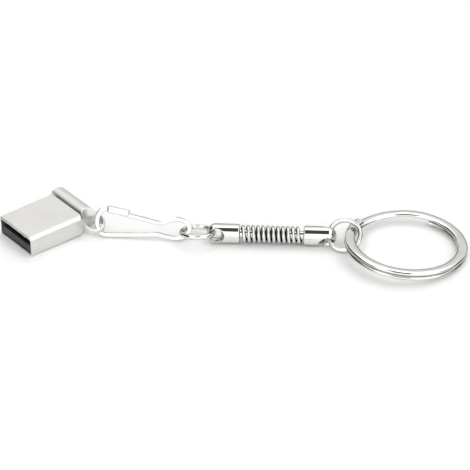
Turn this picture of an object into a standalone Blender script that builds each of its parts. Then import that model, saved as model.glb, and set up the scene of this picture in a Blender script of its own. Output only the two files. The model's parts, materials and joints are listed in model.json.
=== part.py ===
"""USB flash drive on a spring key chain, laid out along X on its resting surface.

Metres, +Z up. The drive is at -X, the split key ring at +X, and everything lies on z = 0.
Lengths below are in millimetres and become metres through MM.
"""

import math

import bmesh
import bpy
from mathutils import Matrix, Vector

MM = 0.001
GAP = 0.05

# Placing of the whole chain, so that its box is centred on the origin.
LAYOUT_SHIFT = Vector((0.472, 3.648, 0.0))

# Drive: a plug sleeve with a roll across its rear edge and an ear at the roll's near end.
SLEEVE_LENGTH = 14.14
SLEEVE_WIDTH = 12.0
SLEEVE_HEIGHT = 4.5
SLEEVE_SIDE_WALL = 0.35
SLEEVE_TOP_WALL = 0.5
SLEEVE_FLOOR_WALL = 0.3
CAVITY_DEPTH = 13.0
ROLL_RADIUS = 2.6
ROLL_AXIS_X = 16.1
ROLL_FAR_END_Y = 7.1
EAR_RADIUS = 2.65
EAR_CENTRE_Y = -6.85
EAR_HOLE_RADIUS = 2.15
EAR_HOLE_WAIST = 1.5
EAR_HOLE_FLARE = 0.65
EAR_FLARE_LENGTH = 1.5
EAR_CUT_REACH = 4.0
# Block that cuts a scoop, and each scoop's slope and distance from the ear's middle.
SCOOP_BLOCK = ((-5.0, -12.0, 0.0), (5.0, 3.0, 6.0))
EAR_SCOOP_TOP = (math.radians(31.0), 1.2)
EAR_SCOOP_UNDER = (math.radians(25.0), 2.3)
GROOVE_WIDTH = 0.55
GROOVE_DEPTH = 1.4
DRIVE_MOUTH = Vector((-48.2, -4.0, 0.02))
DRIVE_YAW = math.radians(38.0)

# Module inside the sleeve.
TRAY_FRONT_X = 0.3
TRAY_REAR_X = 12.8
TRAY_HEIGHT = 1.85
TRAY_FLOOR = 0.25
TRAY_RAIL = 0.3
MODULE_FRONT_X = 0.75
MODULE_REAR_X = 12.1
MODULE_WIDTH = 10.4
MOULDING_HEIGHT = 1.15
SUBSTRATE_HEIGHT = 0.26
CONTACT_HEIGHT = 0.05
CONTACT_WIDTH = 1.1
CONTACTS = {
    "contact_ground": (-3.5, 7.6),
    "contact_data_plus": (-1.0, 6.6),
    "contact_data_minus": (1.0, 6.6),
    "contact_power": (3.5, 7.6),
}

# Snap hook: one flattened wire bent in a plane that leans back from the surface.
STRIP_WIDTH = 1.1
STRIP_THICKNESS = 0.8
HOOK_ORIGIN = Vector((-28.0, -0.88, 0.66))
HOOK_YAW = math.radians(-4.3)
HOOK_PITCH = math.radians(2.5)
HOOK_LEAN = math.radians(55.0)
HOOK_FRAME_PATH = [
    (3.6, 4.95), (1.8, 5.35), (-0.2, 5.76), (-1.5, 5.4), (-2.4, 4.1), (-2.5, 2.2),
    (-1.95, 0.75), (-0.9, 0.12), (0.6, 0.0), (5.6, 0.0), (9.0, 0.05), (10.9, 0.1),
    (13.0, -0.4), (15.05, -0.7), (17.05, -0.2), (18.0, 1.35), (17.15, 2.85), (15.25, 3.5),
    (13.2, 3.1), (12.2, 2.72), (11.6, 2.64),
]
HOOK_GATE_PATH = [(11.42, 2.64), (10.8, 2.7), (8.1, 3.40), (4.9, 4.23), (2.6, 4.80)]
NOSE_START = (4.55, 4.75)
NOSE_END = (-0.1, 5.72)
NOSE_HEIGHT = 1.6
NOSE_WIDTH = 1.9
NOSE_WALL = 0.38

# Jump rings, of one size.
JUMP_RADIUS = 3.475
JUMP_WIRE = 1.05
JUMP_SLIT = math.radians(1.6)
HOOK_RING_CENTRE = Vector((-8.3, -2.4, 2.3))
HOOK_RING_NORMAL = Vector((0.0, 0.225, 0.974))
KEY_RING_JUMP_CENTRE = Vector((24.038, -4.388, 2.788))
KEY_RING_JUMP_NORMAL = Vector((-0.173, -0.619, 0.766))

# Spring link: a close coil between two turned end caps.
LINK_START = Vector((-6.2, -2.6, 2.25))
LINK_YAW = math.radians(-2.9)
CAP_LENGTH = 7.2
CAP_RADIUS = 2.2
CAP_HOLE_X = 1.95
CAP_HOLE_RADIUS = 1.2
CAP_FLARE_RADIUS = 2.2
CAP_SPIGOT_RADIUS = 1.0
CAP_SPIGOT_LENGTH = 3.2
LINK_LENGTH = 28.5
COIL_RADIUS = 1.62
COIL_WIRE = 0.8
COIL_TURNS = 12.0
CAP_HOLE_TILT_HOOK = math.radians(12.0)
CAP_HOLE_TILT_KEYS = math.radians(-27.0)

# Split key ring: two turns of flattened wire that cross over between their ends.
KEY_RING_CENTRE = Vector((37.421, -6.858, 2.1))
KEY_RING_TILT_X = math.radians(-1.22)
KEY_RING_TILT_Y = math.radians(4.51)
KEY_RING_RADIUS = 12.4
KEY_WIRE_WIDTH = 2.2
KEY_WIRE_HEIGHT = 0.98
KEY_TURN_PITCH = 1.06
KEY_FIRST_END = math.radians(62.0)
KEY_CROSSING = math.radians(81.0)

PEARL_NICKEL = ((0.62, 0.61, 0.59), 0.32, 1.0)
BRIGHT_NICKEL = ((0.72, 0.72, 0.71), 0.16, 1.0)
CHROME = ((0.78, 0.78, 0.79), 0.06, 1.0)
BLACK_PLASTIC = ((0.02, 0.02, 0.022), 0.5, 0.0)
BOARD_GREEN = ((0.02, 0.12, 0.05), 0.45, 0.0)
GOLD = ((0.83, 0.62, 0.25), 0.22, 1.0)
SILICON = ((0.22, 0.23, 0.26), 0.2, 0.6)
CERAMIC = ((0.45, 0.36, 0.26), 0.5, 0.0)
GLUE = ((0.75, 0.72, 0.6), 0.4, 0.0)


def clear_scene():
    """Remove every object, so that the script gives the same scene each run."""
    for thing in list(bpy.data.objects):
        bpy.data.objects.remove(thing, do_unlink=True)


def new_collection(name):
    """Return a new collection, linked to the scene."""
    collection = bpy.data.collections.new(name)
    bpy.context.scene.collection.children.link(collection)
    return collection


def make_material(name, finish):
    """Return a Principled material from a colour, a roughness and a metallic value."""
    colour, roughness, metallic = finish
    material = bpy.data.materials.new(name)
    material.use_nodes = True
    shader = material.node_tree.nodes["Principled BSDF"]
    shader.inputs["Base Color"].default_value = (*colour, 1.0)
    shader.inputs["Roughness"].default_value = roughness
    shader.inputs["Metallic"].default_value = metallic
    return material


def make_frame(name, matrix, parent=None):
    """Add an empty that carries the pieces of one body, in millimetre coordinates."""
    frame = bpy.data.objects.new(name, None)
    frame.empty_display_size = 0.002
    PARTS.objects.link(frame)
    placed = matrix.copy()
    placed.translation = placed.translation * MM
    frame.matrix_world = placed
    if parent is not None:
        bpy.context.view_layer.update()
        frame.parent = parent
        frame.matrix_parent_inverse = parent.matrix_world.inverted()
    return frame


def place(thing, frame, finish):
    """Hang a piece and its cutters on its body's empty and give it its own material."""
    thing.parent = frame
    for step in thing.modifiers:
        if step.type == "BOOLEAN":
            step.object.parent = frame
    thing.data.materials.clear()
    thing.data.materials.append(make_material(thing.name + "_finish", finish))
    return thing


def mark_cutter(thing):
    """Keep a cutter or guide out of the model."""
    thing.hide_render = True
    thing.display_type = "WIRE"
    return thing


def mesh_object(name, mesh, collection):
    """Wrap a mesh in a new object."""
    thing = bpy.data.objects.new(name, mesh)
    collection.objects.link(thing)
    return thing


def box(name, low, high, collection):
    """Make a box from two opposite corners."""
    low = Vector(low) * MM
    high = Vector(high) * MM
    shape = bmesh.new()
    bmesh.ops.create_cube(shape, size=1.0)
    size = high - low
    matrix = Matrix.Translation((low + high) / 2)
    matrix = matrix @ Matrix.Diagonal((size.x, size.y, size.z, 1.0))
    bmesh.ops.transform(shape, matrix=matrix, verts=shape.verts)
    mesh = bpy.data.meshes.new(name)
    shape.to_mesh(mesh)
    shape.free()
    return mesh_object(name, mesh, collection)


def cylinder(name, radius, start, end, collection, segments=48):
    """Make a closed cylinder between two points."""
    start = Vector(start) * MM
    end = Vector(end) * MM
    shape = bmesh.new()
    bmesh.ops.create_cone(shape, cap_ends=True, segments=segments, radius1=radius * MM,
                          radius2=radius * MM, depth=(end - start).length)
    turn = (end - start).to_track_quat("Z", "Y").to_matrix().to_4x4()
    bmesh.ops.transform(shape, matrix=Matrix.Translation((start + end) / 2) @ turn,
                        verts=shape.verts)
    mesh = bpy.data.meshes.new(name)
    shape.to_mesh(mesh)
    shape.free()
    return mesh_object(name, mesh, collection)


def sphere(name, radius, centre, collection):
    """Make a ball."""
    shape = bmesh.new()
    bmesh.ops.create_uvsphere(shape, u_segments=48, v_segments=24, radius=radius * MM)
    bmesh.ops.translate(shape, vec=Vector(centre) * MM, verts=shape.verts)
    mesh = bpy.data.meshes.new(name)
    shape.to_mesh(mesh)
    shape.free()
    return mesh_object(name, mesh, collection)


def turned(name, profile, collection, steps=40):
    """Turn an open (radius, height) profile about Z; it runs from top to bottom."""
    mesh = bpy.data.meshes.new(name)
    points = [(radius * MM, 0.0, height * MM) for radius, height in profile]
    edges = [(index, index + 1) for index in range(len(points) - 1)]
    mesh.from_pydata(points, edges, [])
    thing = mesh_object(name, mesh, collection)
    screw = thing.modifiers.new("turn", "SCREW")
    screw.steps = steps
    screw.render_steps = steps
    screw.use_merge_vertices = True
    screw.merge_threshold = 0.000001
    screw.use_smooth_shade = True
    return thing


def freeze(thing, turn=None):
    """Replace an object by its evaluated mesh, welded, as a plain mesh object."""
    bpy.context.view_layer.update()
    evaluated = thing.evaluated_get(bpy.context.evaluated_depsgraph_get())
    mesh = bpy.data.meshes.new_from_object(evaluated)
    shape = bmesh.new()
    shape.from_mesh(mesh)
    bmesh.ops.remove_doubles(shape, verts=shape.verts, dist=0.000002)
    bmesh.ops.recalc_face_normals(shape, faces=shape.faces)
    if turn is not None:
        bmesh.ops.transform(shape, matrix=turn, verts=shape.verts)
    shape.to_mesh(mesh)
    shape.free()
    name = thing.name
    matrix = thing.matrix_world.copy()
    collection = thing.users_collection[0]
    bpy.data.objects.remove(thing, do_unlink=True)
    mesh.name = name
    frozen = mesh_object(name, mesh, collection)
    frozen.matrix_world = matrix
    return frozen


def combine(target, tool, operation):
    """Cut a target with a tool, or join the tool to it."""
    mark_cutter(tool)
    step = target.modifiers.new(tool.name, "BOOLEAN")
    step.operation = operation
    step.object = tool
    step.solver = "EXACT"
    return step


def soften(thing, width, segments=2, angle=40.0):
    """Round the edges of a piece that are sharper than an angle."""
    bevel = thing.modifiers.new("soft_edges", "BEVEL")
    bevel.width = width * MM
    bevel.segments = segments
    bevel.limit_method = "ANGLE"
    bevel.angle_limit = math.radians(angle)
    return bevel


def smooth_path(points, steps):
    """Return points along a Catmull-Rom curve through the given ones."""
    count = len(points)
    result = []
    for index in range(count - 1):
        before = points[max(index - 1, 0)]
        start = points[index]
        end = points[index + 1]
        after = points[min(index + 2, count - 1)]
        for step in range(steps):
            part = step / steps
            point = []
            for axis in range(len(start)):
                slope_in = (end[axis] - before[axis]) / 2
                slope_out = (after[axis] - start[axis]) / 2
                value = ((2 * part ** 3 - 3 * part ** 2 + 1) * start[axis]
                         + (part ** 3 - 2 * part ** 2 + part) * slope_in
                         + (3 * part ** 2 - 2 * part ** 3) * end[axis]
                         + (part ** 3 - part ** 2) * slope_out)
                point.append(value)
            result.append(tuple(point))
    result.append(points[-1])
    return result


def section(name, width, height, corner):
    """Make a closed rounded rectangle that serves as a wire's cross-section."""
    curve = bpy.data.curves.new(name, "CURVE")
    curve.dimensions = "2D"
    spline = curve.splines.new("POLY")
    outline = []
    for turn, sign_x, sign_y in ((0, 1, 1), (90, -1, 1), (180, -1, -1), (270, 1, -1)):
        for step in range(3):
            angle = math.radians(turn + 45 * step)
            outline.append((sign_x * (width / 2 - corner) + corner * math.cos(angle),
                            sign_y * (height / 2 - corner) + corner * math.sin(angle)))
    spline.points.add(len(outline) - 1)
    for point, (x, y) in zip(spline.points, outline):
        point.co = (x * MM, y * MM, 0.0, 1.0)
    spline.use_cyclic_u = True
    thing = bpy.data.objects.new(name, curve)
    GUIDES.objects.link(thing)
    return mark_cutter(thing)


def wire(name, points, collection, diameter=None, profile=None):
    """Run a wire along points, of round section or of a given profile."""
    curve = bpy.data.curves.new(name, "CURVE")
    curve.dimensions = "3D"
    curve.twist_mode = "Z_UP"
    spline = curve.splines.new("POLY")
    spline.points.add(len(points) - 1)
    for point, place_mm in zip(spline.points, points):
        point.co = (place_mm[0] * MM, place_mm[1] * MM, place_mm[2] * MM, 1.0)
    curve.use_fill_caps = True
    if profile is None:
        curve.bevel_depth = diameter / 2 * MM
        curve.bevel_resolution = 2
    else:
        curve.bevel_mode = "OBJECT"
        curve.bevel_object = profile
    thing = bpy.data.objects.new(name, curve)
    collection.objects.link(thing)
    return thing


def shade_round(thing, angle=40.0):
    """Shade a mesh smooth except at its sharp edges."""
    thing.data.shade_smooth()
    thing.data.set_sharp_from_angle(angle=math.radians(angle))
    return thing


def build_housing(frame):
    """Cast housing: sleeve, roll and ear in one piece, cut open at the mouth."""
    half = SLEEVE_WIDTH / 2
    middle = SLEEVE_HEIGHT / 2
    housing = box("alloy_housing", (0, -half, 0), (SLEEVE_LENGTH + 0.3, half, SLEEVE_HEIGHT), PARTS)
    soften(housing, 0.22)
    roll = cylinder("roll_solid", ROLL_RADIUS, (ROLL_AXIS_X, EAR_CENTRE_Y, middle),
                    (ROLL_AXIS_X, ROLL_FAR_END_Y, middle), CUTTERS, 64)
    ear = sphere("ear_solid", EAR_RADIUS, (ROLL_AXIS_X, EAR_CENTRE_Y, middle), CUTTERS)
    cavity = box("cavity_cut", (-1, -half + SLEEVE_SIDE_WALL, SLEEVE_FLOOR_WALL),
                 (CAVITY_DEPTH, half - SLEEVE_SIDE_WALL, SLEEVE_HEIGHT - SLEEVE_TOP_WALL), CUTTERS)
    combine(housing, roll, "UNION")
    combine(housing, ear, "UNION")
    combine(housing, cavity, "DIFFERENCE")
    for side, name in ((1, "groove_cut_top"), (-1, "groove_cut_under")):
        near = middle + side * (middle - GROOVE_DEPTH)
        far = middle + side * (middle + 1.5)
        groove = box(name, (SLEEVE_LENGTH, -half - 0.3, min(near, far)),
                     (SLEEVE_LENGTH + GROOVE_WIDTH, ROLL_FAR_END_Y + 1, max(near, far)), CUTTERS)
        combine(housing, groove, "DIFFERENCE")
    wide = EAR_HOLE_RADIUS + EAR_HOLE_FLARE
    waist = EAR_HOLE_WAIST / 2
    mouth = waist + EAR_FLARE_LENGTH
    upper = [(0.0, EAR_CUT_REACH), (wide, EAR_CUT_REACH), (wide, mouth), (EAR_HOLE_RADIUS, waist)]
    lower = [(radius, -height) for radius, height in reversed(upper)]
    hole = turned("lanyard_hole_cut", upper + lower, CUTTERS, 56)
    hole = freeze(hole, Matrix.Translation(Vector((ROLL_AXIS_X, EAR_CENTRE_Y, middle)) * MM))
    combine(housing, hole, "DIFFERENCE")
    for side, name, (slope, height) in ((1, "scoop_cut_top", EAR_SCOOP_TOP),
                                        (-1, "scoop_cut_under", EAR_SCOOP_UNDER)):
        scoop = box(name, *SCOOP_BLOCK, CUTTERS)
        lean = Matrix.Rotation(slope, 4, "X")
        flip = Matrix.Diagonal((1, 1, side, 1))
        seat = Matrix.Translation(Vector((ROLL_AXIS_X, EAR_CENTRE_Y, middle)) * MM)
        rise = Matrix.Translation(Vector((0, 0, height)) * MM)
        scoop.data.transform(seat @ flip @ rise @ lean)
        if side < 0:
            scoop.data.flip_normals()
        combine(housing, scoop, "DIFFERENCE")
    housing = freeze(housing)
    shade_round(housing, 35)
    return place(housing, frame, PEARL_NICKEL)


def build_tray(frame):
    """Plastic tray: a floor, side rails and a front lip around the module."""
    half = SLEEVE_WIDTH / 2 - SLEEVE_SIDE_WALL - GAP
    floor = SLEEVE_FLOOR_WALL + GAP
    tray = box("carrier_tray", (TRAY_FRONT_X, -half, floor),
               (TRAY_REAR_X, half, floor + TRAY_HEIGHT), PARTS)
    pocket = box("tray_pocket_cut", (MODULE_FRONT_X - GAP, -half + TRAY_RAIL, floor + TRAY_FLOOR),
                 (TRAY_REAR_X - 0.4, half - TRAY_RAIL, 6), CUTTERS)
    combine(tray, pocket, "DIFFERENCE")
    return place(tray, frame, BLACK_PLASTIC)


def build_module(frame):
    """Chip-on-board module: moulding with its dies below, substrate and contacts above."""
    half = MODULE_WIDTH / 2
    low = SLEEVE_FLOOR_WALL + GAP + TRAY_FLOOR + GAP
    top = low + MOULDING_HEIGHT
    moulding = box("module_moulding", (MODULE_FRONT_X, -half, low), (MODULE_REAR_X, half, top), PARTS)
    chips = {
        "flash_memory_die": ((3.0, -4.3, 0.50), (9.3, 1.9, 0.0), SILICON),
        "controller_die": ((9.8, -2.2, 0.45), (11.7, 1.2, 0.0), SILICON),
        "clock_crystal": ((3.0, 2.7, 0.60), (5.5, 4.3, 0.0), CHROME),
        "decoupling_capacitor": ((6.2, 3.0, 0.50), (7.2, 3.5, 0.0), CERAMIC),
        "pullup_resistor": ((8.2, 3.0, 0.35), (9.2, 3.5, 0.0), BLACK_PLASTIC),
    }
    for name, (first, second, finish) in chips.items():
        chip = box(name, (first[0], first[1], top - first[2]), (second[0], second[1], top), PARTS)
        pocket = box(name + "_pocket_cut", (first[0] - GAP, first[1] - GAP, top - first[2] - GAP),
                     (second[0] + GAP, second[1] + GAP, top + 1), CUTTERS)
        combine(moulding, pocket, "DIFFERENCE")
        place(chip, frame, finish)
    place(moulding, frame, BLACK_PLASTIC)
    board_low = top + GAP
    board_top = board_low + SUBSTRATE_HEIGHT
    board = box("module_substrate", (MODULE_FRONT_X, -half, board_low),
                (MODULE_REAR_X, half, board_top), PARTS)
    place(board, frame, BOARD_GREEN)
    for name, (middle_y, length) in CONTACTS.items():
        contact = box(name, (MODULE_FRONT_X + 0.5, middle_y - CONTACT_WIDTH / 2, board_top + 0.02),
                      (MODULE_FRONT_X + 0.5 + length, middle_y + CONTACT_WIDTH / 2,
                       board_top + 0.02 + CONTACT_HEIGHT), PARTS)
        place(contact, frame, GOLD)
    glue = box("rear_adhesive", (9.8, -4.8, board_top + 0.15),
               (CAVITY_DEPTH - 0.15, 4.8, SLEEVE_HEIGHT - SLEEVE_TOP_WALL - GAP), PARTS)
    soften(glue, 0.3)
    place(glue, frame, GLUE)


def build_nose():
    """Folded lip at the hook's nose: a channel, open below, that takes the gate's end."""
    start = Vector((NOSE_START[0], NOSE_START[1], 0))
    end = Vector((NOSE_END[0], NOSE_END[1], 0))
    run = (end - start).length
    angle = math.atan2(start.y - end.y, start.x - end.x)
    nose = box("nose_solid", (0, -NOSE_HEIGHT / 2, -NOSE_WIDTH / 2),
               (run, NOSE_HEIGHT / 2, NOSE_WIDTH / 2), CUTTERS)
    slot = box("nose_slot_cut", (0.9, -NOSE_HEIGHT, -NOSE_WIDTH / 2 + NOSE_WALL),
               (run + 1, NOSE_HEIGHT / 2 - NOSE_WALL, NOSE_WIDTH / 2 - NOSE_WALL), CUTTERS)
    combine(nose, slot, "DIFFERENCE")
    soften(nose, 0.12, 1)
    turn = Matrix.Translation(end * MM) @ Matrix.Rotation(angle, 4, "Z")
    return freeze(nose, turn)


def build_hook(frame, gate_frame):
    """Snap hook: bent frame with its nose channel, and the sprung gate run."""
    strip = section("strip_section", STRIP_WIDTH, STRIP_THICKNESS, 0.28)
    path = smooth_path(HOOK_FRAME_PATH, 5)
    body = wire("snap_hook_frame", [(x, y, 0.0) for x, y in path[10:]], PARTS, profile=strip)
    body = freeze(body)
    nose = build_nose()
    combine(body, nose, "UNION")
    body = freeze(body)
    shade_round(body)
    place(body, frame, BRIGHT_NICKEL)
    pivot = HOOK_GATE_PATH[0]
    gate_path = [(x - pivot[0], y - pivot[1], 0.0) for x, y in smooth_path(HOOK_GATE_PATH, 6)]
    gate = freeze(wire("snap_hook_gate", gate_path, PARTS, profile=strip))
    shade_round(gate)
    place(gate, gate_frame, BRIGHT_NICKEL)


def build_jump_ring(name, frame):
    """Round wire bent to a ring in its frame's XY plane, with a fine slit at its joint."""
    count = 48
    points = []
    for step in range(count + 1):
        angle = JUMP_SLIT / 2 + (2 * math.pi - JUMP_SLIT) * step / count + math.radians(110)
        points.append((JUMP_RADIUS * math.cos(angle), JUMP_RADIUS * math.sin(angle), 0.0))
    ring = freeze(wire(name, points, PARTS, diameter=JUMP_WIRE))
    shade_round(ring)
    return place(ring, frame, CHROME)


def build_end_cap(name, frame, hole_tilt):
    """Turned end cap along local +X: domed lug end at 0, spigot for the coil at the other."""
    dome = [(CAP_RADIUS * math.cos(angle), CAP_RADIUS * (1 - math.sin(angle)) * 0.8)
            for angle in [math.radians(90 - 12 * step) for step in range(8)]]
    profile = [(0.0, CAP_LENGTH + CAP_SPIGOT_LENGTH), (CAP_SPIGOT_RADIUS, CAP_LENGTH + CAP_SPIGOT_LENGTH),
               (CAP_SPIGOT_RADIUS, CAP_LENGTH), (CAP_RADIUS - 0.25, CAP_LENGTH),
               (CAP_RADIUS, CAP_LENGTH - 0.25)]
    profile += [(radius, height) for radius, height in reversed(dome)]
    cap = turned(name, profile, PARTS)
    cap = freeze(cap, Matrix.Rotation(math.radians(90), 4, "Y"))
    reach = CAP_RADIUS + 0.2
    flare = [(0.0, reach)]
    for step in range(9):
        height = reach * (1 - 2 * step / 8)
        swell = (abs(height) / reach) ** 2
        flare.append((CAP_HOLE_RADIUS + (CAP_FLARE_RADIUS - CAP_HOLE_RADIUS) * swell, height))
    flare.append((0.0, -reach))
    hole = turned(name + "_hole_cut", flare, CUTTERS, 32)
    turn = (Matrix.Translation(Vector((CAP_HOLE_X, 0, 0)) * MM)
            @ Matrix.Rotation(math.radians(90) - hole_tilt, 4, "X"))
    hole = freeze(hole, turn)
    combine(cap, hole, "DIFFERENCE")
    cap = freeze(cap)
    shade_round(cap, 35)
    return place(cap, frame, CHROME)


def build_coil(frame):
    """Close-wound coil between the cap faces, along local +X from 0."""
    free = LINK_LENGTH - 2 * CAP_LENGTH - 2 * (COIL_WIRE / 2 + 0.1)
    per_turn = 14
    count = round(COIL_TURNS * per_turn)
    points = []
    for step in range(count + 1):
        angle = 2 * math.pi * step / per_turn
        points.append((COIL_WIRE / 2 + 0.1 + free * step / count,
                       COIL_RADIUS * math.cos(angle), COIL_RADIUS * math.sin(angle)))
    coil = freeze(wire("spring_link", points, PARTS, diameter=COIL_WIRE))
    shade_round(coil)
    return place(coil, frame, CHROME)


def build_key_ring(frame):
    """Split ring: a lower turn, a crossing and an upper turn of one flattened wire."""
    flat = section("key_wire_section", KEY_WIRE_WIDTH, KEY_WIRE_HEIGHT, 0.3)
    full = 2 * math.pi
    total = 2 * full - KEY_CROSSING
    lower = full - KEY_CROSSING
    count = 128
    points = []
    for step in range(count + 1):
        travelled = total * step / count
        angle = KEY_FIRST_END - travelled
        part = min(max((travelled - lower) / KEY_CROSSING, 0.0), 1.0)
        rise = part * part * (3 - 2 * part)
        height = KEY_TURN_PITCH * (rise - 0.5)
        points.append((KEY_RING_RADIUS * math.cos(angle), KEY_RING_RADIUS * math.sin(angle), height))
    ring = freeze(wire("key_ring", points, PARTS, profile=flat))
    shade_round(ring)
    return place(ring, frame, CHROME)


def axes_matrix(origin, x_axis, z_axis):
    """Return a matrix with a given origin, Z axis, and X axis as near as can be."""
    z_axis = z_axis.normalized()
    y_axis = z_axis.cross(x_axis).normalized()
    x_axis = y_axis.cross(z_axis)
    matrix = Matrix((x_axis, y_axis, z_axis)).transposed().to_4x4()
    matrix.translation = origin
    return matrix


def layout():
    """Work out every body's frame, in millimetres."""
    shift = Matrix.Translation(LAYOUT_SHIFT)
    middle = SLEEVE_HEIGHT / 2
    pitch = math.atan((ROLL_RADIUS - middle) / ROLL_AXIS_X)
    drive = (shift @ Matrix.Translation(DRIVE_MOUTH) @ Matrix.Rotation(DRIVE_YAW, 4, "Z")
             @ Matrix.Rotation(-pitch, 4, "Y"))
    hook = (shift @ Matrix.Translation(HOOK_ORIGIN) @ Matrix.Rotation(HOOK_YAW, 4, "Z")
            @ Matrix.Rotation(-HOOK_PITCH, 4, "Y") @ Matrix.Rotation(HOOK_LEAN, 4, "X"))
    pivot = HOOK_GATE_PATH[0]
    gate = hook @ Matrix.Translation((pivot[0], pivot[1], 0.0))
    along = Vector((1, 0, 0))
    first = axes_matrix(LAYOUT_SHIFT + HOOK_RING_CENTRE, along, HOOK_RING_NORMAL)
    link = shift @ Matrix.Translation(LINK_START) @ Matrix.Rotation(LINK_YAW, 4, "Z")
    coil = link @ Matrix.Translation((CAP_LENGTH, 0, 0))
    far_cap = link @ Matrix.Translation((LINK_LENGTH, 0, 0)) @ Matrix.Rotation(math.pi, 4, "Z")
    second = axes_matrix(LAYOUT_SHIFT + KEY_RING_JUMP_CENTRE, along, KEY_RING_JUMP_NORMAL)
    keys = (shift @ Matrix.Translation(KEY_RING_CENTRE) @ Matrix.Rotation(KEY_RING_TILT_Y, 4, "Y")
            @ Matrix.Rotation(KEY_RING_TILT_X, 4, "X"))
    return {"drive": drive, "hook": hook, "gate": gate, "hook_ring": first, "link": link,
            "coil": coil, "far_cap": far_cap, "key_jump": second, "keys": keys}


def build():
    """Build every piece on its frame."""
    places = layout()
    frames = {name: make_frame(name + "_frame", matrix) for name, matrix in places.items()}
    build_housing(frames["drive"])
    build_tray(frames["drive"])
    build_module(frames["drive"])
    build_hook(frames["hook"], frames["gate"])
    build_jump_ring("hook_jump_ring", frames["hook_ring"])
    build_end_cap("end_cap_hook_side", frames["link"], CAP_HOLE_TILT_HOOK)
    build_coil(frames["coil"])
    build_end_cap("end_cap_ring_side", frames["far_cap"], -CAP_HOLE_TILT_KEYS)
    build_jump_ring("key_jump_ring", frames["key_jump"])
    build_key_ring(frames["keys"])


clear_scene()
PARTS = new_collection("usb_flash_drive")
CUTTERS = new_collection("cutters")
GUIDES = new_collection("guides")
build()
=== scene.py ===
"""USB flash drive on a spring key chain: surfaces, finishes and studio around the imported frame.

Sizes are in millimetres until a mesh is made; MM turns them to metres.
"""
import json
import logging
import math
from dataclasses import dataclass, field
from enum import Enum
from typing import Callable

import bpy
import numpy as np
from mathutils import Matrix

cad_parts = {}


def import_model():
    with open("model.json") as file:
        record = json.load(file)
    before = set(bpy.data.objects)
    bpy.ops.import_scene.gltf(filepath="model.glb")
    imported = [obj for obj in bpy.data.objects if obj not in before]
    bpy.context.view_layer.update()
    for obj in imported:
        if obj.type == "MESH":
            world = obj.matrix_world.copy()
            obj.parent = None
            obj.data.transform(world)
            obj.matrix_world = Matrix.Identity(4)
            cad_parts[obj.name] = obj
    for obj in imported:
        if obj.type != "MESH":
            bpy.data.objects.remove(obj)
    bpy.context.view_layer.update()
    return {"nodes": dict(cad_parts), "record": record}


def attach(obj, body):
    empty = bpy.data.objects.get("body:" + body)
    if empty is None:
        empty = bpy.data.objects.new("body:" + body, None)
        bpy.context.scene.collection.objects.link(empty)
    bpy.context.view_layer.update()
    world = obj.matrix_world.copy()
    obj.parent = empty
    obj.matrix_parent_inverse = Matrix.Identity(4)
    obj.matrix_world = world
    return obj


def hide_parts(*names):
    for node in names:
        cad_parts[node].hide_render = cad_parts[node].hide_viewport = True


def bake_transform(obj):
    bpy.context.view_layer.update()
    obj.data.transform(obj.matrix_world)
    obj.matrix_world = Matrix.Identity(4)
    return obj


MM = 0.001
LOG = logging.getLogger("key_chain")
# From the bench, where the chain was laid out, to the middle of the frame.
BENCH = (0.472, 3.648, 0.0)
# The first jump ring on the bench: its middle, and the direction square to it.
HOOK_RING_CENTRE = (-8.3, -2.4, 2.3)
HOOK_RING_NORMAL = (0.0, 0.225, 0.974)
# Power of a superellipse that is a plain circle.
ROUND = 2.0

# How colour and roughness vary over a surface: clouds per millimetre, and the fine grain's share.
CLOUDS_PER_MM = 0.35
FINE_SHARE = 0.35
# Painted shade near a coil's axis fades out between these distances either side of its radius, and
# keeps this much of the colour.
SHADE_FADE_MM = (-0.1, 0.14)
SHADE_LEVEL = 0.06

Array = np.ndarray
Tree = bpy.types.NodeTree
Socket = bpy.types.NodeSocket
Faces = list[list[int]]


# ---------------------------------------------------------------- finishes


class Pattern(Enum):
    """How a surface was made, which decides the relief that its finish shows."""

    BLASTED = "bead-blasted casting"
    DRAWN = "drawn wire"
    TURNED = "turned on a lathe"
    MOULDED = "moulded against spark-eroded steel"
    LAMINATE = "glass-cloth laminate"
    CAST_RESIN = "poured resin"
    WAFER = "polished wafer"


@dataclass(frozen=True)
class Finish:
    """One real material and how its surface was made.

    Args:
        name: Material name, in a maker's words.
        colour: Main colour, sRGB hex.
        second: Colour of the variation, sRGB hex.
        pattern: How the surface was made.
        metallic: 1 for metal, 0 for the rest.
        roughness: Middle roughness.
        spread: How far the roughness moves either way.
        grain_mm: Real size of the relief.
        relief_mm: Real depth of the relief.
        coat: Strength of a clear coat.
        edge: Grey level of the reflection at grazing angles; below 1 it darkens the outlines, a
            painted shade.
        inner_shade_mm: Radius round the piece's axis within which shade is painted into the colour,
            for the dark inside of a coil and the gaps between its turns; 0 for none.
    """

    name: str
    colour: str
    second: str
    pattern: Pattern
    metallic: float = 0.0
    roughness: float = 0.4
    spread: float = 0.05
    grain_mm: float = 0.2
    relief_mm: float = 0.002
    coat: float = 0.0
    edge: float = 1.0
    inner_shade_mm: float = 0.0


# Zinc alloy casting, bead-blasted and pearl-nickel plated: a soft warm grey with a broad sheen.
PEARL_NICKEL = Finish("pearl_nickel_on_blasted_zinc_casting", "#DFDEDC", "#D8D7D4", Pattern.BLASTED,
                      metallic=1.0, roughness=0.42, spread=0.05, grain_mm=0.16, relief_mm=0.0012)
# Spring wire rolled flat, barrel-polished and nickel plated: bright, with a slightly soft reflection.
BARREL_NICKEL = Finish("barrel_polished_nickel_on_flat_wire", "#F1F0EE", "#E6E5E2", Pattern.DRAWN,
                       metallic=1.0, roughness=0.2, spread=0.05, grain_mm=0.5, relief_mm=0.001,
                       edge=0.3)
# Steel wire with polished nickel plate: mirror bright with hairline handling marks.
MIRROR_NICKEL = Finish("polished_nickel_on_steel_wire", "#E9E8E6", "#DEDDDA", Pattern.DRAWN,
                       metallic=1.0, roughness=0.07, spread=0.035, grain_mm=0.7, relief_mm=0.0005,
                       edge=0.25)
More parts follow.
